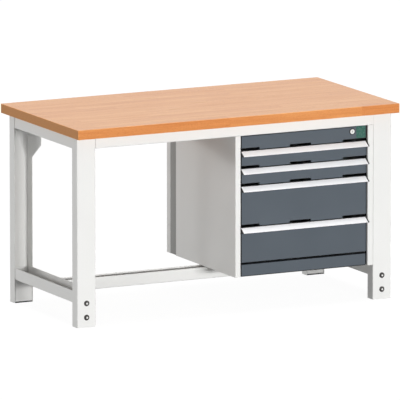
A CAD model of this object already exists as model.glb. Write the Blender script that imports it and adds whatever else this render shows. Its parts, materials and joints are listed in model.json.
import json
import math

import bmesh
import bpy
from mathutils import Matrix, Vector


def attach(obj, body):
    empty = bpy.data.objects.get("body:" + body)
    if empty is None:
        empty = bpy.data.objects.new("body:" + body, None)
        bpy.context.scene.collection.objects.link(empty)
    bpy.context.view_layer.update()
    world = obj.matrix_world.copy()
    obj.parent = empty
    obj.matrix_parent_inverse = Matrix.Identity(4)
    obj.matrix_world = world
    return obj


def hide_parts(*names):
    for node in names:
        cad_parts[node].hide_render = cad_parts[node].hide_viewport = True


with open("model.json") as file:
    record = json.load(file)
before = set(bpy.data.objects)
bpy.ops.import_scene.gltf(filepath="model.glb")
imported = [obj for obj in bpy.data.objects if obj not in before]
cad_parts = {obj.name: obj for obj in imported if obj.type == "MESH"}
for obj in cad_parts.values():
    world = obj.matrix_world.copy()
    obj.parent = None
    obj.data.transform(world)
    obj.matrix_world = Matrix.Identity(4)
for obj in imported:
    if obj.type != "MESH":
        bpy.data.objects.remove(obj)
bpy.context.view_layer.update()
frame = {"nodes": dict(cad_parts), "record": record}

scene = bpy.context.scene

MM = 0.001

# Camera: a long lens from the front left, a little above the worktop, aimed a touch above
# and left of the bench's middle
AIM = Vector((0.0, 0.0, 0.420))
AIM_RISE = 7.2 * MM
AIM_LEFT = 0.8 * MM
CAMERA_AZIMUTH = math.radians(-26.62)
CAMERA_ELEVATION = math.radians(10.37)
CAMERA_DISTANCE = 34.93
CAMERA_REACH = 200.0
LENS_MM = 746.0
SENSOR_MM = 36.0

# Studio light: long low strips in front and at the left, and one soft lamp above.
# Bearing and rise are in degrees, width and height in metres.
STRIP_DISTANCE = 14.0
FRONT_STRIP = {"bearing": 3.5, "rise": 4.0, "width": 4.4, "height": 1.0, "light": 2.58}
LEFT_STRIP = {"bearing": -130, "rise": 9.6, "width": 9.6, "height": 1.2, "light": 1.18}
LOW_STRIP = {"bearing": -60, "rise": 2.0, "width": 6.0, "height": 1.0, "light": 0.34}
TOP_LIGHT = 1.62
TOP_LIGHT_SPREAD = math.radians(20)
SKY_LIGHT = 0.26

# Floor: how much light it throws back, and the thin shade and the glow that the camera sees
FLOOR_HALF = 60.0
FLOOR_MATT = 0.25
FLOOR_SHADE = 0.09
FLOOR_GLOW = 0.95

# Beech board: staves glued edge to edge, each a row of shorter lengths
STAVE_W = 47 * MM
STAVE_L = 620 * MM
BOARD_FRONT = -0.375

# Sizes of the marks in the finishes, in millimetres: across, or along X, Y and Z. Those under 5 mm
# are finer than the photo's pixels, and show in close views. The decimals hold each pattern in place.
GROWTH_RINGS = (285.714, 11.76471, 11.76471)
WOOD_FIBRES = (45.45455, 1.111111, 1.111111)
WOOD_FLECKS = (5.263158, 0.6666667, 0.6666667)
END_PORES = (1000.0, 2.380952, 2.380952)
PAINT_CLOUDS = 200.0
ORANGE_PEEL = 1.612903
BRUSH_LINES = (166.6667, 0.7142857, 0.7142857)
MOULD_SPARKS = 0.5882353
ZINC_BLOTCHES = 16.66667
ZINC_SCUFFS = 1.25
TURNING_MARKS = 0.6666667
PLATE_RIPPLES = 7.692308
OXIDE_SPECKS = 1.111111
TRIM_LINES = (1.111111, 1.111111, 125.0)


def srgb(code):
    """The linear colour of an sRGB hex value."""
    parts = [int(code[i:i + 2], 16) / 255 for i in (1, 3, 5)]
    return tuple(c / 12.92 if c <= 0.04045 else ((c + 0.055) / 1.055) ** 2.4 for c in parts) + (1.0,)


def per_metre(size):
    """The pattern scale that gives marks of a size in millimetres, or of one size along each axis."""
    if isinstance(size, tuple):
        return tuple(1 / (part * MM) for part in size)
    return 1 / (size * MM)


def add(tree, kind, settings=None, inputs=None):
    """Adds a node, sets its properties, and fills its inputs with plain values or links."""
    node = tree.nodes.new("ShaderNode" + kind)
    for name, value in (settings or {}).items():
        setattr(node, name, value)
    for name, value in (inputs or {}).items():
        if isinstance(value, bpy.types.NodeSocket):
            tree.links.new(value, node.inputs[name])
        else:
            node.inputs[name].default_value = value
    return node


def new_material(name):
    """A material with its shader and output, and the place on the piece that patterns follow."""
    material = bpy.data.materials.new(name)
    material.use_nodes = True
    tree = material.node_tree
    tree.nodes.clear()
    shader = add(tree, "BsdfPrincipled")
    add(tree, "OutputMaterial", inputs={"Surface": shader.outputs[0]})
    return material, tree, shader, add(tree, "TexCoord").outputs["Object"]


def aim_camera():
    """The camera at the photo's viewing angle, distance and framing."""
    right = Vector((math.cos(CAMERA_AZIMUTH), math.sin(CAMERA_AZIMUTH), 0))
    towards = Vector((
        math.sin(CAMERA_AZIMUTH) * math.cos(CAMERA_ELEVATION),
        -math.cos(CAMERA_AZIMUTH) * math.cos(CAMERA_ELEVATION),
        math.sin(CAMERA_ELEVATION)))
    rise = towards.cross(right)
    data = bpy.data.cameras.new("camera")
    data.lens = LENS_MM
    data.sensor_width = SENSOR_MM
    data.clip_end = CAMERA_REACH
    camera = bpy.data.objects.new("camera", data)
    scene.collection.objects.link(camera)
    aim = AIM + rise * AIM_RISE - right * AIM_LEFT
    camera.location = aim + towards * CAMERA_DISTANCE
    camera.rotation_euler = (-towards).to_track_quat("-Z", "Y").to_euler()
    scene.camera = camera


def strip_lamp(name, bearing, rise, width, height, light):
    """A strip of light on a bearing from the front, turning right, that gives the object so much light.

    Shiny surfaces don't mirror it, so it leaves no white glare in low views towards it."""
    bearing = math.radians(bearing)
    rise = math.radians(rise)
    towards = Vector((
        math.sin(bearing) * math.cos(rise),
        -math.cos(bearing) * math.cos(rise),
        math.sin(rise)))
    data = bpy.data.lights.new(name, "AREA")
    data.shape = "RECTANGLE"
    data.size = width
    data.size_y = height
    data.energy = light * math.pi * STRIP_DISTANCE ** 2
    lamp = bpy.data.objects.new(name, data)
    lamp.location = AIM + towards * STRIP_DISTANCE
    lamp.rotation_euler = towards.to_track_quat("Z", "Y").to_euler()
    lamp.visible_camera = False
    lamp.visible_glossy = False
    scene.collection.objects.link(lamp)


def seen_or_mirrored(tree):
    """1 for rays from the camera and off shiny or clear surfaces, 0 for soft light."""
    path = add(tree, "LightPath")
    seen = add(tree, "Math", {"operation": "MAXIMUM"},
        {0: path.outputs["Is Camera Ray"], 1: path.outputs["Is Glossy Ray"]})
    return add(tree, "Math", {"operation": "MAXIMUM"},
        {0: seen.outputs[0], 1: path.outputs["Is Transmission Ray"]}).outputs[0]


def light_studio():
    """The strips, the lamp above, and a white world that gives the object only a little light."""
    strip_lamp("front_strip", **FRONT_STRIP)
    strip_lamp("left_strip", **LEFT_STRIP)
    strip_lamp("low_strip", **LOW_STRIP)
    data = bpy.data.lights.new("top_lamp", "SUN")
    data.energy = TOP_LIGHT
    data.angle = TOP_LIGHT_SPREAD
    scene.collection.objects.link(bpy.data.objects.new("top_lamp", data))
    world = bpy.data.worlds.new("studio")
    world.use_nodes = True
    tree = world.node_tree
    tree.nodes.clear()
    light = add(tree, "Background", inputs={"Color": (1, 1, 1, 1), "Strength": SKY_LIGHT})
    backdrop = add(tree, "Background", inputs={"Color": (1, 1, 1, 1), "Strength": 1.0})
    mix = add(tree, "MixShader",
        inputs={0: seen_or_mirrored(tree), 1: light.outputs[0], 2: backdrop.outputs[0]})
    add(tree, "OutputWorld", inputs={"Surface": mix.outputs[0]})
    scene.world = world


def lay_floor():
    """A white floor that the camera sees with the object's shadow faint on it."""
    mesh = bpy.data.meshes.new("floor")
    shape = bmesh.new()
    bmesh.ops.create_grid(shape, x_segments=1, y_segments=1, size=FLOOR_HALF)
    shape.to_mesh(mesh)
    shape.free()
    floor = bpy.data.objects.new("floor", mesh)
    scene.collection.objects.link(floor)
    material = bpy.data.materials.new("pale_floor")
    material.use_nodes = True
    tree = material.node_tree
    tree.nodes.clear()
    matt = add(tree, "BsdfDiffuse", inputs={"Color": (FLOOR_MATT, FLOOR_MATT, FLOOR_MATT, 1)})
    shade = add(tree, "BsdfDiffuse", inputs={"Color": (FLOOR_SHADE, FLOOR_SHADE, FLOOR_SHADE, 1)})
    glow = add(tree, "Emission", inputs={"Color": (1, 1, 1, 1), "Strength": FLOOR_GLOW})
    pale = add(tree, "AddShader", inputs={0: shade.outputs[0], 1: glow.outputs[0]})
    mix = add(tree, "MixShader",
        inputs={0: seen_or_mirrored(tree), 1: matt.outputs[0], 2: pale.outputs[0]})
    add(tree, "OutputMaterial", inputs={"Surface": mix.outputs[0]})
    mesh.materials.append(material)


def lacquered_beech():
    """Lacquered beech: staves of close but different tones with long fine grain and flecks, thin glue
    lines between them, and duller cut ends with pores as dots on the short sides."""
    material, tree, shader, place = new_material("lacquered_beech")
    at = add(tree, "SeparateXYZ", inputs={0: place})
    row = add(tree, "Math", {"operation": "SUBTRACT"}, {0: at.outputs["Y"], 1: BOARD_FRONT})
    row = add(tree, "Math", {"operation": "DIVIDE"}, {0: row.outputs[0], 1: STAVE_W})
    stave = add(tree, "Math", {"operation": "FLOOR"}, {0: row.outputs[0]})
    shift = add(tree, "TexWhiteNoise", {"noise_dimensions": "1D"}, {"W": stave.outputs[0]})
    along = add(tree, "Math", {"operation": "DIVIDE"}, {0: at.outputs["X"], 1: STAVE_L})
    along = add(tree, "Math", {"operation": "MULTIPLY_ADD"},
        {0: shift.outputs["Value"], 1: 7.0, 2: along.outputs[0]})
    length = add(tree, "Math", {"operation": "FLOOR"}, {0: along.outputs[0]})
    which = add(tree, "CombineXYZ", inputs={"X": stave.outputs[0], "Y": length.outputs[0]})
    tone = add(tree, "TexWhiteNoise", {"noise_dimensions": "2D"}, {"Vector": which.outputs[0]})

    # Each length has its own stretch of grain
    jump = add(tree, "VectorMath", {"operation": "SCALE"}, {0: tone.outputs["Color"], "Scale": 5.0})
    wood = add(tree, "VectorMath", {"operation": "ADD"}, {0: place, 1: jump.outputs[0]}).outputs[0]
    rings = add(tree, "Mapping", inputs={"Vector": wood, "Scale": per_metre(GROWTH_RINGS)})
    rings = add(tree, "TexNoise",
        inputs={"Vector": rings.outputs[0], "Scale": 1.0, "Detail": 3.0, "Roughness": 0.55})
    fibres = add(tree, "Mapping", inputs={"Vector": wood, "Scale": per_metre(WOOD_FIBRES)})
    fibres = add(tree, "TexNoise",
        inputs={"Vector": fibres.outputs[0], "Scale": 1.0, "Detail": 2.0, "Roughness": 0.6})
    flecks = add(tree, "Mapping", inputs={"Vector": wood, "Scale": per_metre(WOOD_FLECKS)})
    flecks = add(tree, "TexNoise", inputs={"Vector": flecks.outputs[0], "Scale": 1.0, "Detail": 0.0})
    flecks = add(tree, "MapRange", inputs={"Value": flecks.outputs[0], "From Min": 0.66, "From Max": 0.74})

    # Tone of the length, then darker growth rings, then fibres and flecks
    base = add(tree, "ValToRGB", inputs={"Fac": tone.outputs["Value"]})
    ramp = base.color_ramp.elements
    ramp[0].color = srgb("#eca55e")
    ramp[1].color = srgb("#f5b46d")
    ramp.new(0.5).color = srgb("#f1ad65")
    dark = add(tree, "MapRange", inputs={"Value": rings.outputs[0], "From Min": 0.35, "From Max": 0.72})
    ringed = add(tree, "Mix", {"data_type": "RGBA", "blend_type": "MULTIPLY"},
        {"Factor": dark.outputs[0], "A": base.outputs[0], "B": srgb("#f1e3d8")})
    dark = add(tree, "MapRange",
        inputs={"Value": fibres.outputs[0], "From Min": 0.40, "From Max": 0.75, "To Max": 0.55})
    lined = add(tree, "Mix", {"data_type": "RGBA", "blend_type": "MULTIPLY"},
        {"Factor": dark.outputs[0], "A": ringed.outputs["Result"], "B": srgb("#e6d2c2")})
    flecked = add(tree, "Mix", {"data_type": "RGBA", "blend_type": "MULTIPLY"},
        {"Factor": flecks.outputs[0], "A": lined.outputs["Result"], "B": srgb("#d0ab8e")})

    # A thin darker glue line between staves
    edge = add(tree, "Math", {"operation": "FRACT"}, {0: row.outputs[0]})
    edge = add(tree, "Math", {"operation": "PINGPONG"}, {0: edge.outputs[0], 1: 0.5})
    glue = add(tree, "MapRange", inputs={"Value": edge.outputs[0], "From Min": 0.004, "From Max": 0.012,
        "To Min": 0.5, "To Max": 0.0})
    glued = add(tree, "Mix", {"data_type": "RGBA", "blend_type": "MULTIPLY"},
        {"Factor": glue.outputs[0], "A": flecked.outputs["Result"], "B": srgb("#c89a78")})

    # Cut ends: the short sides show pores as dots and a slightly deeper tone
    dots = add(tree, "Mapping", inputs={"Vector": wood, "Scale": per_metre(END_PORES)})
    dots = add(tree, "TexNoise",
        inputs={"Vector": dots.outputs[0], "Scale": 1.0, "Detail": 4.0, "Roughness": 0.7})
    dots = add(tree, "MapRange", inputs={"Value": dots.outputs[0], "From Min": 0.35, "From Max": 0.7})
    cut = add(tree, "Mix", {"data_type": "RGBA"},
        {"Factor": dots.outputs[0], "A": srgb("#c48c5a"), "B": srgb("#b47c4c")})
    facing = add(tree, "SeparateXYZ", inputs={0: add(tree, "NewGeometry").outputs["Normal"]})
    facing = add(tree, "Math", {"operation": "ABSOLUTE"}, {0: facing.outputs["X"]})
    facing = add(tree, "Math", {"operation": "GREATER_THAN"}, {0: facing.outputs[0], 1: 0.8})
    colour = add(tree, "Mix", {"data_type": "RGBA"},
        {"Factor": facing.outputs[0], "A": glued.outputs["Result"], "B": cut.outputs["Result"]})
    tree.links.new(colour.outputs["Result"], shader.inputs["Base Color"])

    # The cut ends take the lacquer up and stay duller than the top
    gloss = add(tree, "MapRange", inputs={"Value": rings.outputs[0], "To Min": 0.24, "To Max": 0.36})
    gloss = add(tree, "Math", {"operation": "MULTIPLY_ADD"},
        {0: facing.outputs[0], 1: 0.4, 2: gloss.outputs[0]})
    tree.links.new(gloss.outputs[0], shader.inputs["Roughness"])
    bump = add(tree, "Bump",
        inputs={"Height": fibres.outputs[0], "Strength": 0.10, "Distance": 0.15 * MM})
    tree.links.new(bump.outputs[0], shader.inputs["Normal"])
    return material


def powder_coat(name, code, shade, roughness, sheen):
    """Baked powder paint: an even colour with a faint cloud in it, and a fine orange-peel skin."""
    material, tree, shader, place = new_material(name)
    shader.inputs["Specular IOR Level"].default_value = sheen
    cloud = add(tree, "TexNoise", inputs={"Vector": place, "Scale": per_metre(PAINT_CLOUDS), "Detail": 2.0})
    cloud = add(tree, "MapRange", inputs={"Value": cloud.outputs[0], "From Min": 0.3, "From Max": 0.7})
    colour = add(tree, "Mix", {"data_type": "RGBA"},
        {"Factor": cloud.outputs[0], "A": srgb(code), "B": srgb(shade)})
    tree.links.new(colour.outputs["Result"], shader.inputs["Base Color"])
    peel = add(tree, "TexNoise", inputs={"Vector": place, "Scale": per_metre(ORANGE_PEEL), "Detail": 1.0})
    gloss = add(tree, "MapRange", inputs={"Value": peel.outputs[0],
        "To Min": roughness - 0.05, "To Max": roughness + 0.05})
    tree.links.new(gloss.outputs[0], shader.inputs["Roughness"])
    bump = add(tree, "Bump", inputs={"Height": peel.outputs[0], "Strength": 0.12, "Distance": 0.15 * MM})
    tree.links.new(bump.outputs[0], shader.inputs["Normal"])
    return material


def anodised_aluminium():
    """Satin anodised aluminium: almost white, with a soft sheen and fine brushed lines along the grip."""
    material, tree, shader, place = new_material("satin_anodised_aluminium")
    shader.inputs["Metallic"].default_value = 0.04
    lines = add(tree, "Mapping", inputs={"Vector": place, "Scale": per_metre(BRUSH_LINES)})
    lines = add(tree, "TexNoise", inputs={"Vector": lines.outputs[0], "Scale": 1.0, "Detail": 2.0})
    colour = add(tree, "Mix", {"data_type": "RGBA"},
        {"Factor": lines.outputs[0], "A": srgb("#ffffff"), "B": srgb("#fafafd")})
    tree.links.new(colour.outputs["Result"], shader.inputs["Base Color"])
    gloss = add(tree, "MapRange", inputs={"Value": lines.outputs[0], "To Min": 0.42, "To Max": 0.56})
    tree.links.new(gloss.outputs[0], shader.inputs["Roughness"])
    bump = add(tree, "Bump", inputs={"Height": lines.outputs[0], "Strength": 0.08, "Distance": 0.05 * MM})
    tree.links.new(bump.outputs[0], shader.inputs["Normal"])
    return material


def moulded_plastic():
    """Black plastic from a spark-eroded mould: deep black with a dull, finely pitted skin."""
    material, tree, shader, place = new_material("black_moulded_plastic")
    sparks = add(tree, "TexNoise",
        inputs={"Vector": place, "Scale": per_metre(MOULD_SPARKS), "Detail": 1.0})
    colour = add(tree, "Mix", {"data_type": "RGBA"},
        {"Factor": sparks.outputs[0], "A": srgb("#0c0c0d"), "B": srgb("#121214")})
    tree.links.new(colour.outputs["Result"], shader.inputs["Base Color"])
    gloss = add(tree, "MapRange", inputs={"Value": sparks.outputs[0], "To Min": 0.42, "To Max": 0.60})
    tree.links.new(gloss.outputs[0], shader.inputs["Roughness"])
    bump = add(tree, "Bump", inputs={"Height": sparks.outputs[0], "Strength": 0.25, "Distance": 0.06 * MM})
    tree.links.new(bump.outputs[0], shader.inputs["Normal"])
    return material


def zinc_plating():
    """Bright zinc on steel: cool grey metal with soft blotches and fine scuffs."""
    material, tree, shader, place = new_material("zinc_plating")
    shader.inputs["Metallic"].default_value = 1.0
    blotch = add(tree, "TexNoise",
        inputs={"Vector": place, "Scale": per_metre(ZINC_BLOTCHES), "Detail": 3.0})
    blotch = add(tree, "MapRange", inputs={"Value": blotch.outputs[0], "From Min": 0.35, "From Max": 0.65})
    colour = add(tree, "Mix", {"data_type": "RGBA"},
        {"Factor": blotch.outputs[0], "A": srgb("#b9bcbf"), "B": srgb("#a6a8a4")})
    tree.links.new(colour.outputs["Result"], shader.inputs["Base Color"])
    scuff = add(tree, "TexNoise", inputs={"Vector": place, "Scale": per_metre(ZINC_SCUFFS), "Detail": 2.0})
    gloss = add(tree, "MapRange", inputs={"Value": scuff.outputs[0], "To Min": 0.26, "To Max": 0.48})
    tree.links.new(gloss.outputs[0], shader.inputs["Roughness"])
    bump = add(tree, "Bump", inputs={"Height": scuff.outputs[0], "Strength": 0.10, "Distance": 0.05 * MM})
    tree.links.new(bump.outputs[0], shader.inputs["Normal"])
    return material


def nickel_plating():
    """Satin nickel on the lock: a pale, soft mirror, dulled unevenly by fine marks."""
    material, tree, shader, place = new_material("satin_nickel")
    shader.inputs["Metallic"].default_value = 0.9
    marks = add(tree, "TexNoise",
        inputs={"Vector": place, "Scale": per_metre(TURNING_MARKS), "Detail": 1.0})
    colour = add(tree, "Mix", {"data_type": "RGBA"},
        {"Factor": marks.outputs[0], "A": srgb("#f8f8f6"), "B": srgb("#ebebe8")})
    tree.links.new(colour.outputs["Result"], shader.inputs["Base Color"])
    gloss = add(tree, "MapRange", inputs={"Value": marks.outputs[0], "To Min": 0.22, "To Max": 0.36})
    tree.links.new(gloss.outputs[0], shader.inputs["Roughness"])
    return material


def gloss_plastic():
    """Green plastic of the plain plate, moulded glossy, with a faint ripple in its shine."""
    material, tree, shader, place = new_material("gloss_green_plastic")
    ripple = add(tree, "TexNoise",
        inputs={"Vector": place, "Scale": per_metre(PLATE_RIPPLES), "Detail": 1.0})
    colour = add(tree, "Mix", {"data_type": "RGBA"},
        {"Factor": ripple.outputs[0], "A": srgb("#2a564b"), "B": srgb("#305e52")})
    tree.links.new(colour.outputs["Result"], shader.inputs["Base Color"])
    gloss = add(tree, "MapRange", inputs={"Value": ripple.outputs[0], "To Min": 0.22, "To Max": 0.32})
    tree.links.new(gloss.outputs[0], shader.inputs["Roughness"])
    bump = add(tree, "Bump", inputs={"Height": ripple.outputs[0], "Strength": 0.05, "Distance": 0.1 * MM})
    tree.links.new(bump.outputs[0], shader.inputs["Normal"])
    return material


def black_oxide():
    """Blackened steel of the leg bolts and the key shutter: dark grey, oiled, with brownish specks."""
    material, tree, shader, place = new_material("black_oxide_steel")
    shader.inputs["Metallic"].default_value = 0.6
    speck = add(tree, "TexNoise", inputs={"Vector": place, "Scale": per_metre(OXIDE_SPECKS), "Detail": 3.0})
    colour = add(tree, "Mix", {"data_type": "RGBA"},
        {"Factor": speck.outputs[0], "A": srgb("#484849"), "B": srgb("#55514d")})
    tree.links.new(colour.outputs["Result"], shader.inputs["Base Color"])
    gloss = add(tree, "MapRange", inputs={"Value": speck.outputs[0], "To Min": 0.40, "To Max": 0.62})
    tree.links.new(gloss.outputs[0], shader.inputs["Roughness"])
    return material


def extruded_trim():
    """Mid-grey plastic trim in the cabinet's recesses: matt, with fine drawing lines up it."""
    material, tree, shader, place = new_material("matt_grey_trim")
    lines = add(tree, "Mapping", inputs={"Vector": place, "Scale": per_metre(TRIM_LINES)})
    lines = add(tree, "TexNoise", inputs={"Vector": lines.outputs[0], "Scale": 1.0, "Detail": 1.0})
    colour = add(tree, "Mix", {"data_type": "RGBA"},
        {"Factor": lines.outputs[0], "A": srgb("#9a9a98"), "B": srgb("#939391")})
    tree.links.new(colour.outputs["Result"], shader.inputs["Base Color"])
    gloss = add(tree, "MapRange", inputs={"Value": lines.outputs[0], "To Min": 0.55, "To Max": 0.70})
    tree.links.new(gloss.outputs[0], shader.inputs["Roughness"])
    return material


# Places from the CAD source, in millimetres
LEG_X = 692.5
LEG_BOLT_Z = (42, 102)
FRAME_FRONT = -330.0
FRAME_BACK = 325.0
FRAME_ENDS = ((FRAME_FRONT, -1), (FRAME_BACK, 1))
UPRIGHT_DEPTH = 48
INNER_X = 650.0
LOWER_RAIL_Z = (102, 148)
GUSSET_FOOT_Z = 624
RAIL_Z = 750.0
TOP_Z = 800.0
SHEET = 2.5
RAIL_BOLT_IN = 12.5
RAIL_BOLT_Z = (762.5, 785)
STRETCHER_BOLT_Y = (-46, -10)
STRETCHER_BOLT_Z = 111
CABINET_BOLT_X = (59.5, 589.5)
CABINET_BOLT_Y = (-290, 285)
CABINET_MID = 324.5
CABINET_TOP = 748
BACK_Y = 323
OPENING_X = (24.5, 624.5)
BUFFER_W = 1.6
PLINTH_Z = (150, 206)
ROW_TOPS = (685.0, 610.0, 535.0, 360.0)
ROW_BOTTOMS = (610.0, 535.0, 360.0, 208.0)
FACE_Y = -322.0
FRONT_X0 = 30.5
FRONT_X1 = 618.5
NOTCH_TOP = 11.2
LOCK_AT = (553.5, FACE_Y, 727.0)
PLATE_X = (572, 616)
PLATE_Z = (697, 747.5)
PLATE_FRONT = FACE_Y - 0.8

# Grips: their line and ends, how thick the black ends are, and the rolled lip
GRIP_Y = FACE_Y - 2
GRIP_X0 = 29.0
GRIP_X1 = 615.5
LEFT_END = 3
RIGHT_END = 6
LIP_R = 1.6
LIP_OUT = 24.3
LIP_DROP = 20.5

# Cross-sections as (Y, Z) points from a grip's line and the top of its row
GRIP_SECTION = [(2, -2.1), (0, -2.1), (-24.9, -19.5), (-23.8, -21.1), (0, -4.7), (0, -16), (2, -16)]
GRIP_END_SECTION = [(2, -1.9), (-0.3, -1.9), (-25.6, -19.6), (-26.4, -21.3), (-25.0, -23.0), (2, -23.0)]

# M8 hexagon bolts: the head stands on a round seat, and the thread shows past the nut
SEAT_R = 7.0
SEAT_H = 0.5
HEX_R = 7.5
HEAD_H = 4.8
NUT_H = 6.8
SHANK_R = 4.0
THREAD_STEP = 0.5

# Weld beads
RAIL_BEAD_R = 1.3
GUSSET_BEAD_R = 1.4
WELD_RIPPLE = 2.5

# Profiles of turned parts: (distance along the axis, radius) points
SOCKET_FLOOR = 3.2
LEG_BOLT_HEAD = [(0, 0), (0, 12.2), (0.9, 12.2), (1.5, 11.6), (1.9, 8.4), (2.3, 8.0), (5.3, 8.0),
    (6.0, 7.3), (6.0, 5.0), (5.6, 4.6), (SOCKET_FLOOR, 4.6), (SOCKET_FLOOR, 0)]
LEG_BOLT_SHANK = [(0, 0), (0, 5.0), (13.5, 5.0), (14.0, 4.6), (14.5, 5.0), (15.0, 4.6), (15.5, 4.0),
    (15.5, 0)]
WORKTOP_SCREW = [(-27.5, 0), (-24, 2.6), (0, 3), (0, 6), (1.0, 6), (2.4, 5.1), (3.3, 3.4), (3.5, 2.2),
    (3.4, 1.8), (1.6, 1.5), (1.4, 0)]
RIVET = [(0, 0), (0, 3.0), (0.5, 2.8), (0.9, 2.0), (1.1, 0.9), (0.8, 0.7), (0.8, 0)]
SPOT_WELD = [(0, 0), (0, 4.2), (0.5, 3.6), (0.3, 2.0), (0.2, 0)]
HOLE_PLUG = [(0, 0), (0, 9.0), (0.8, 8.8), (1.5, 7.6), (1.7, 5.5), (1.4, 4.5), (1.4, 0)]
LOCK_RIM = [(-12, 6.1), (-12, 9), (0.6, 9), (0.6, 9.9), (1.7, 10.3), (2.2, 10.1), (2.5, 9.7), (2.5, 8.7),
    (2.1, 8.3), (2.1, 7.0), (2.4, 6.6), (2.4, 6.1)]
LOCK_GASKET = [(0, 9.1), (0, 14.0), (0.4, 14.0), (0.8, 13.5), (0.8, 9.1)]
RUNNER_SCREW = [(0, 0), (0, 4.0), (0.8, 3.8), (1.5, 2.8), (1.7, 1.5), (0.9, 1.2), (0.9, 0)]

# Drawers: heights above a row's bottom and below its top
FLOOR_RISE = 14
RIM_DROP = 12
RUNNER_RISE = 36

# Drawers: places at the left side, from the box's wall outwards, and what rolls in the runners
HEM_X = (37.7, 40.1)
RIB_X = (37.6, 39.0)
RIB_PITCH = 50
RUNNER_SCREW_X = 35.2
RUNNER_SCREW_Y = (-270, -120, 30, 200)
RUNNER_STOP_X = (28.2, 32.4)
CAGE_X = (31.0, 32.2)
BALL_X = 31.6
BALL_R = 1.8
BALL_PITCH = 14.8
BALLS_IN_ROW = 18


def soften(shape, edges, offset, steps=2):
    """Rounds edges over by an offset in millimetres."""
    return bmesh.ops.bevel(shape, geom=edges, offset=offset * MM, offset_type="OFFSET", segments=steps,
        profile=0.5, affect="EDGES", clamp_overlap=True, material=-1)


def edges_at(corners):
    """The edges that meet at some corners, each once and in the same order every run."""
    return list(dict.fromkeys(edge for corner in corners for edge in corner.link_edges))


def sharp_block(shape, lo, hi):
    """Makes a box between two corners, in millimetres, and gives its edges."""
    size = Vector(hi) - Vector(lo)
    centre = (Vector(hi) + Vector(lo)) / 2
    place = Matrix.LocRotScale(centre * MM, None, size * MM)
    return edges_at(bmesh.ops.create_cube(shape, size=1.0, matrix=place)["verts"])


def block(shape, lo, hi, soft, steps=2):
    """A box between two corners, in millimetres, with softened edges."""
    soften(shape, sharp_block(shape, lo, hi), soft, steps)


def runs_along_y(edge, length):
    """Whether an edge goes at least so far, in millimetres, from front to back."""
    return abs(edge.verts[0].co.y - edge.verts[1].co.y) > length * MM


def section(shape, points, x0, x1, soft):
    """A cross-section of (Y, Z) points, in millimetres, drawn out along X, with softened edges."""
    end = shape.faces.new([shape.verts.new((x0 * MM, y * MM, z * MM)) for y, z in points])
    corners = list(end.verts)
    drawn = bmesh.ops.extrude_face_region(shape, geom=[end])["geom"]
    moved = [corner for corner in drawn if isinstance(corner, bmesh.types.BMVert)]
    bmesh.ops.translate(shape, verts=moved, vec=((x1 - x0) * MM, 0, 0))
    soften(shape, edges_at(corners + moved), soft)


def swage(shape, lo, hi, rise):
    """A long pressed rib with round ends and sloping sides, raised from a sheet that faces +Y."""
    edges = sharp_block(shape, lo, hi)
    thickness = hi[1] - lo[1]
    uprights = [edge for edge in edges if runs_along_y(edge, thickness / 2)]
    rounded = soften(shape, uprights, (hi[2] - lo[2]) * 0.49, 7)
    faces = dict.fromkeys(face for edge in rounded["edges"] for face in edge.link_faces)
    front = [face for face in faces if face.calc_center_median().y > (hi[1] - 0.01) * MM]
    bmesh.ops.inset_individual(shape, faces=front, thickness=rise * 2.4 * MM, depth=rise * MM)


def turned(shape, at, axis, profile, sides=24, ring=False):
    """A turned part: (distance along the axis, radius) points in millimetres, spun round the axis.

    A solid part's profile starts and ends on the axis. A ring's profile closes on itself."""
    along = Vector(axis).normalized()
    outwards = along.orthogonal().normalized()
    at = Vector(at)
    points = [shape.verts.new((at + along * step + outwards * radius) * MM) for step, radius in profile]
    ends = points[1:] + points[:1] if ring else points[1:]
    edges = [shape.edges.new(pair) for pair in zip(points, ends)]
    bmesh.ops.spin(shape, geom=points + edges, cent=at * MM, axis=along, dvec=(0, 0, 0),
        angle=math.tau, steps=sides, use_merge=True)
    if not ring:
        bmesh.ops.remove_doubles(shape, verts=shape.verts[:], dist=1e-7)


def hexagon(shape, at, axis, radius, height, soft):
    """A hexagon prism that stands on a point, with the edges of both ends rounded off."""
    along = Vector(axis).normalized()
    turn = along.to_track_quat("Z", "Y").to_matrix().to_4x4()
    place = Matrix.Translation((Vector(at) + along * height / 2) * MM) @ turn
    corners = bmesh.ops.create_cone(shape, cap_ends=True, segments=6, radius1=radius * MM,
        radius2=radius * MM, depth=height * MM, matrix=place)["verts"]
    rims = [edge for edge in edges_at(corners)
        if abs((edge.verts[0].co - edge.verts[1].co).dot(along)) < height * MM / 2]
    soften(shape, rims, soft)


def bolt(shape, at, axis, grip):
    """An M8 hexagon bolt: its head on a surface, and its nut and thread on the far side of the sheets."""
    at = Vector(at)
    axis = Vector(axis)
    turned(shape, at, axis,
        [(0, 0), (0, SEAT_R), (SEAT_H - 0.3, SEAT_R), (SEAT_H, SEAT_R - 0.4), (SEAT_H, 0)])
    hexagon(shape, at + axis * SEAT_H, axis, HEX_R, HEAD_H, 0.8)
    hexagon(shape, at - axis * grip, -axis, HEX_R, NUT_H, 0.7)
    nut_end = grip + NUT_H
    thread = [(nut_end + THREAD_STEP * turn, SHANK_R - THREAD_STEP * (turn % 2)) for turn in range(4)]
    turned(shape, at, -axis, [(0, 0), (0, SHANK_R)] + thread
        + [(nut_end + 2, SHANK_R - 0.9), (nut_end + 2, 0)], sides=20)


def weld(shape, start, end, radius):
    """A weld bead along a seam, with the ripples that the torch leaves."""
    start = Vector(start)
    run = Vector(end) - start
    ripples = int(run.length / WELD_RIPPLE)
    step = run.length / (2 * ripples + 2)
    crests = [(step * (n + 1), radius * (1.0 if n % 2 else 0.8)) for n in range(2 * ripples + 1)]
    turned(shape, start, run, [(0, 0)] + crests + [(run.length, 0)], sides=10)


def across(side, *places):
    """X places in the cabinet, in rising order, as given (side -1) or mirrored in its middle (side 1)."""
    return sorted(places if side < 0 else [2 * CABINET_MID - x for x in places])


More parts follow.
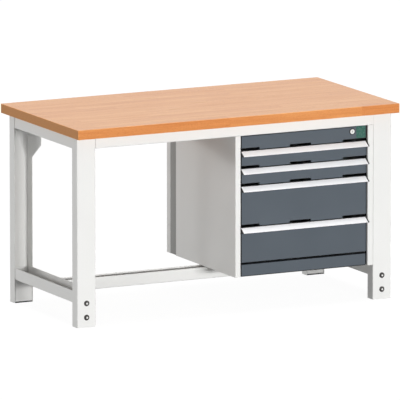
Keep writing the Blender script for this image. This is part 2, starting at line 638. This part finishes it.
def piece(name, shape, finish, body, slot, *stands_for):
    """Makes a shape into a piece of the object, with its finish, the body it rides on and its slot."""
    bmesh.ops.recalc_face_normals(shape, faces=shape.faces[:])
    mesh = bpy.data.meshes.new(name)
    shape.to_mesh(mesh)
    shape.free()
    mesh.materials.append(FINISHES[finish])
    mesh.shade_smooth()
    mesh.set_sharp_from_angle(angle=math.radians(35))
    made = bpy.data.objects.new(name, mesh)
    scene.collection.objects.link(made)
    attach(made, body)
    if stands_for:
        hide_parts(*stands_for)


def make_frame_fixings():
    """Leg bolts with plugged sockets, and the bolts and screws that hold the rails, cabinet and top."""
    heads = bmesh.new()
    plugs = bmesh.new()
    nuts = bmesh.new()
    for x in (-LEG_X, LEG_X):
        for y, out in FRAME_ENDS:
            for z in LEG_BOLT_Z:
                seat = Vector((x, y, z))
                axis = Vector((0, out, 0))
                turned(heads, seat, axis, LEG_BOLT_HEAD, sides=32)
                hexagon(plugs, seat + axis * SOCKET_FLOOR, axis, 4.5, 2.5, 0.5)
                hexagon(nuts, seat - axis * 5.5, -axis, 9.2, 8.0, 0.8)
                turned(nuts, seat, -axis, LEG_BOLT_SHANK, sides=20)
    piece("leg_bolt_heads", heads, "black_steel", "bench", "zinc", "leg_bolts")
    piece("leg_bolt_plugs", plugs, "frame_paint", "bench", "frame_paint")
    piece("leg_bolt_nuts", nuts, "zinc", "bench", "zinc", "leg_bolts")

    bolts = bmesh.new()
    for side in (-1, 1):
        for y in (FRAME_FRONT + RAIL_BOLT_IN, FRAME_BACK - RAIL_BOLT_IN):
            for z in RAIL_BOLT_Z:
                bolt(bolts, (side * (INNER_X - SHEET), y, z), (-side, 0, 0), 5)
        for y in STRETCHER_BOLT_Y:
            bolt(bolts, (side * INNER_X, y, STRETCHER_BOLT_Z), (-side, 0, 0), 5)
    piece("frame_bolt_set", bolts, "zinc", "bench", "zinc", "frame_bolts")

    bolts = bmesh.new()
    for x in CABINET_BOLT_X:
        for y in CABINET_BOLT_Y:
            bolt(bolts, (x, y, RAIL_Z + SHEET), (0, 0, 1), 4)
    piece("cabinet_bolt_set", bolts, "zinc", "bench", "zinc", "cabinet_bolts")

    screws = bmesh.new()
    places = [(x, y) for x in (-500, 0, 500) for y in (-306, 301)]
    places += [(x, y) for x in (-LEG_X, LEG_X) for y in (-152.5, 147.5)]
    for x, y in places:
        turned(screws, (x, y, TOP_Z - SHEET), (0, 0, -1), WORKTOP_SCREW, sides=20)
    piece("worktop_screw_set", screws, "zinc", "bench", "zinc", "worktop_screws")


def make_frame_welds():
    """Painted-over weld beads where the side rails and gussets meet the uprights."""
    beads = bmesh.new()
    for side in (-1, 1):
        outer = side * 733.2
        inner = side * 651.8
        gusset = side * 650.2
        under = side * 653.2
        for y, out in FRAME_ENDS:
            edge = y - out * UPRIGHT_DEPTH
            for z0, z1 in (LOWER_RAIL_Z, (RAIL_Z + 2, TOP_Z - 4)):
                weld(beads, (outer, edge, z0), (outer, edge, z1), RAIL_BEAD_R)
            weld(beads, (inner, edge, LOWER_RAIL_Z[0]), (inner, edge, LOWER_RAIL_Z[1]), RAIL_BEAD_R)
            weld(beads, (gusset, edge, GUSSET_FOOT_Z), (gusset, edge, TOP_Z - 8), GUSSET_BEAD_R)
            weld(beads, (under, edge - out * 4, RAIL_Z), (under, edge - out * 84, RAIL_Z), GUSSET_BEAD_R)
    piece("frame_welds", beads, "frame_paint", "bench", "frame_paint")


def make_foot_glides():
    """Black plastic glides moulded round the feet's ends."""
    glides = bmesh.new()
    for side in (-1, 1):
        for y, out in FRAME_ENDS:
            y0, y1 = sorted((y - out * 2.6, y - out * 48.2))
            x0, x1 = sorted((side * 731.8, side * 653.2))
            block(glides, (x0, y0, 0), (x1, y1, 5.5), 1.0)
    piece("foot_glides", glides, "cap_plastic", "bench", "cap_plastic")


def make_cabinet_details():
    """Buffers and seals round the drawers' opening, trims in the side recesses, rivets and spot welds,
    and the back's pressed ribs and hole plugs."""
    strips = bmesh.new()
    for x0, x1 in ((OPENING_X[0], OPENING_X[0] + BUFFER_W), (OPENING_X[1] - BUFFER_W, OPENING_X[1])):
        block(strips, (x0, FACE_Y + 3, 152), (x1, FACE_Y + 15, CABINET_TOP), 0.4)
    for z0, z1 in ((PLINTH_Z[0] + 0.3, PLINTH_Z[1]), (ROW_TOPS[0] + NOTCH_TOP, CABINET_TOP - 0.2)):
        block(strips, (FRONT_X0 - 0.4, FACE_Y - 0.4, z0), (FRONT_X0 + 2.2, FACE_Y + 8, z1), 0.3)
    block(strips, (FRONT_X0, FACE_Y - 0.5, PLINTH_Z[0] + 0.2), (FRONT_X1, FACE_Y + 1, 153.4), 0.4)
    block(strips, (FRONT_X0, FACE_Y - 0.5, 745.2), (PLATE_X[0] - 1, FACE_Y + 1, CABINET_TOP - 0.1), 0.4)
    piece("buffer_strips", strips, "cap_plastic", "bench", "cap_plastic")

    trims = bmesh.new()
    for x0, x1 in ((4.1, 5.1), (643.9, 644.9)):
        block(trims, (x0, 229, 151), (x1, 288.6, 749), 0.3)
    piece("recess_trims", trims, "grey_trim", "bench", "frame_paint")

    rivets = bmesh.new()
    for out in (-1, 1):
        for z in range(180, 740, 90):
            turned(rivets, (CABINET_MID + out * 321, 306, z), (out, 0, 0), RIVET, sides=14)
        for z in range(170, 750, 40):
            turned(rivets, (CABINET_MID + out * 306, BACK_Y, z), (0, 1, 0), SPOT_WELD, sides=16)
    piece("cabinet_rivets", rivets, "frame_paint", "bench", "frame_paint")

    swages = bmesh.new()
    for z in (255, 352, 449, 546, 643):
        swage(swages, (CABINET_MID - 262, BACK_Y - 1, z - 11),
            (CABINET_MID + 262, BACK_Y + 0.05, z + 11), 1.6)
    piece("cabinet_back_swages", swages, "frame_paint", "bench", "frame_paint")

    caps = bmesh.new()
    for x in (120, 529):
        for z in (200, 700):
            turned(caps, (x, BACK_Y, z), (0, 1, 0), HOLE_PLUG, sides=28)
    piece("cabinet_back_plugs", caps, "cap_plastic", "bench", "cap_plastic")


def make_lock():
    """Lock body with a stepped rim on a black gasket, the shutter in the keyhole, and the plain plate."""
    body = bmesh.new()
    turned(body, LOCK_AT, (0, -1, 0), LOCK_RIM, sides=48, ring=True)
    piece("lock_body", body, "lock_chrome", "bench", "lock_chrome", "lock_barrel")

    gasket = bmesh.new()
    turned(gasket, LOCK_AT, (0, -1, 0), LOCK_GASKET, sides=48, ring=True)
    piece("lock_gasket", gasket, "cap_plastic", "bench", "cap_plastic")

    shutter = bmesh.new()
    block(shutter, (552.6, FACE_Y - 2.3, 723.2), (554.4, FACE_Y, 730.8), 0.25)
    piece("lock_key_shutter", shutter, "black_steel", "lock_core", "lock_chrome")

    plate = bmesh.new()
    edges = sharp_block(plate, (PLATE_X[0], PLATE_FRONT, PLATE_Z[0]), (PLATE_X[1], FACE_Y, PLATE_Z[1]))
    soften(plate, [edge for edge in edges if runs_along_y(edge, 0.5)], 3, 5)
    front = [face for face in plate.faces if face.calc_center_median().y < (PLATE_FRONT + 0.1) * MM]
    bmesh.ops.inset_region(plate, faces=front, thickness=0.3 * MM, depth=0)
    front = [face for face in plate.faces if len(face.verts) > 4
        and face.calc_center_median().y < (PLATE_FRONT + 0.1) * MM]
    bmesh.ops.inset_region(plate, faces=front, thickness=1.4 * MM, depth=0)
    bmesh.ops.inset_region(plate, faces=front, thickness=0.3 * MM, depth=-0.25 * MM)
    piece("plain_plate", plate, "plate_green", "bench", "plate_green", "badge_plate")


def make_grip(number, top, bottom):
    """The aluminium grip with a rolled lip, its black ends, and the seals and trim round the front."""
    drawer = "drawer_%d" % number
    length = GRIP_X1 - GRIP_X0
    grip = bmesh.new()
    section(grip, [(GRIP_Y + y, top + z) for y, z in GRIP_SECTION], GRIP_X0, GRIP_X1, 0.35)
    turned(grip, (GRIP_X0, GRIP_Y - LIP_OUT, top - LIP_DROP), (1, 0, 0),
        [(0, 0), (0, LIP_R - 0.3), (0.3, LIP_R), (length - 0.3, LIP_R), (length, LIP_R - 0.3), (length, 0)],
        sides=16)
    piece(drawer + "_grip", grip, "grip_aluminium", drawer, "grip_aluminium", drawer + "_handle")

    ends = bmesh.new()
    for x0, x1 in ((GRIP_X0 - LEFT_END, GRIP_X0), (GRIP_X1, GRIP_X1 + RIGHT_END)):
        section(ends, [(GRIP_Y + y, top + z) for y, z in GRIP_END_SECTION], x0, x1, 0.5)
    piece(drawer + "_grip_ends", ends, "cap_plastic", drawer, "cap_plastic", drawer + "_end_caps")

    # The lowest front has no notches, so its seal and trim go all the way down
    foot = bottom + (2.4 if bottom == ROW_BOTTOMS[-1] else NOTCH_TOP)
    seals = bmesh.new()
    block(seals, (FRONT_X0, GRIP_Y - 0.2, top - 2.2), (FRONT_X1, FACE_Y + 14, top - 0.1), 0.5)
    block(seals, (FRONT_X0 - 0.4, FACE_Y - 0.4, foot), (FRONT_X0 + 2.2, FACE_Y + 8, top - 2.5), 0.3)
    piece(drawer + "_seals", seals, "cap_plastic", drawer, "cap_plastic")
    trim = bmesh.new()
    block(trim, (FRONT_X1 - 0.2, FACE_Y + 0.2, foot), (FRONT_X1 + 2.5, FACE_Y + 15, top - 2.5), 0.5)
    piece(drawer + "_edge_trim", trim, "front_paint", drawer, "front_paint")


def make_drawer_details(number, top, bottom):
    """Hems and pressed ribs in the box, and screws, stops and ball cages in the runners."""
    drawer = "drawer_%d" % number
    runners = "middle_runners_%d" % number
    floor_z = bottom + FLOOR_RISE
    rim_z = top - RIM_DROP
    pressed = bmesh.new()
    for side in (-1, 1):
        x0, x1 = across(side, *HEM_X)
        block(pressed, (x0, -302.7, rim_z - 6), (x1, 246.7, rim_z - 0.05), 0.9)
        x0, x1 = across(side, *RIB_X)
        for y in range(-270, 240, RIB_PITCH):
            block(pressed, (x0, y - 3, floor_z + 5), (x1, y + 3, rim_z - 9), 0.6, 1)
    block(pressed, (40.2, 244.4, rim_z - 6), (608.8, 246.8, rim_z - 0.05), 0.9)
    piece(drawer + "_hems", pressed, "frame_paint", drawer, "frame_paint")

    runner_z = bottom + RUNNER_RISE
    screws = bmesh.new()
    cages = bmesh.new()
    balls = bmesh.new()
    for side in (-1, 1):
        screw_x = across(side, RUNNER_SCREW_X)[0]
        for y in RUNNER_SCREW_Y:
            turned(screws, (screw_x, y, runner_z), (side, 0, 0), RUNNER_SCREW, sides=14)
        x0, x1 = across(side, *RUNNER_STOP_X)
        block(cages, (x0, -299, runner_z - 8), (x1, -291, runner_z + 8), 0.8)
        x0, x1 = across(side, *CAGE_X)
        ball_x = across(side, BALL_X)[0]
        for level in (-1, 1):
            z0, z1 = sorted((runner_z + level * 11.5, runner_z + level * 16.8))
            block(cages, (x0, -285, z0), (x1, -20, z1), 0.3)
            for n in range(BALLS_IN_ROW):
                at = Vector((ball_x, -278 + BALL_PITCH * n, runner_z + level * 16.1))
                bmesh.ops.create_uvsphere(balls, u_segments=8, v_segments=5, radius=BALL_R * MM,
                    matrix=Matrix.Translation(at * MM))
    piece(drawer + "_runner_screws", screws, "zinc", drawer, "zinc")
    piece(runners + "_cages", cages, "cap_plastic", runners, "cap_plastic")
    piece(runners + "_balls", balls, "zinc", runners, "zinc")


FINISHES = {
    "worktop_wood": lacquered_beech(),
    "frame_paint": powder_coat("light_grey_powder_coat", "#e4e4e2", "#e1e1df", 0.45, 0.4),
    "front_paint": powder_coat("anthracite_powder_coat", "#555c63", "#525960", 0.5, 0.25),
    "grip_aluminium": anodised_aluminium(),
    "cap_plastic": moulded_plastic(),
    "zinc": zinc_plating(),
    "lock_chrome": nickel_plating(),
    "plate_green": gloss_plastic(),
    "black_steel": black_oxide(),
    "grey_trim": extruded_trim(),
}

scene.view_settings.view_transform = "Standard"
aim_camera()
light_studio()
lay_floor()
for part in frame["record"]["subparts"]:
    for holder in frame["nodes"][part["node"]].material_slots:
        holder.link = "OBJECT"
        holder.material = FINISHES[part["material_slot"]]
make_frame_fixings()
make_frame_welds()
make_foot_glides()
make_cabinet_details()
make_lock()
for number, (top, bottom) in enumerate(zip(ROW_TOPS, ROW_BOTTOMS), 1):
    make_grip(number, top, bottom)
    make_drawer_details(number, top, bottom)
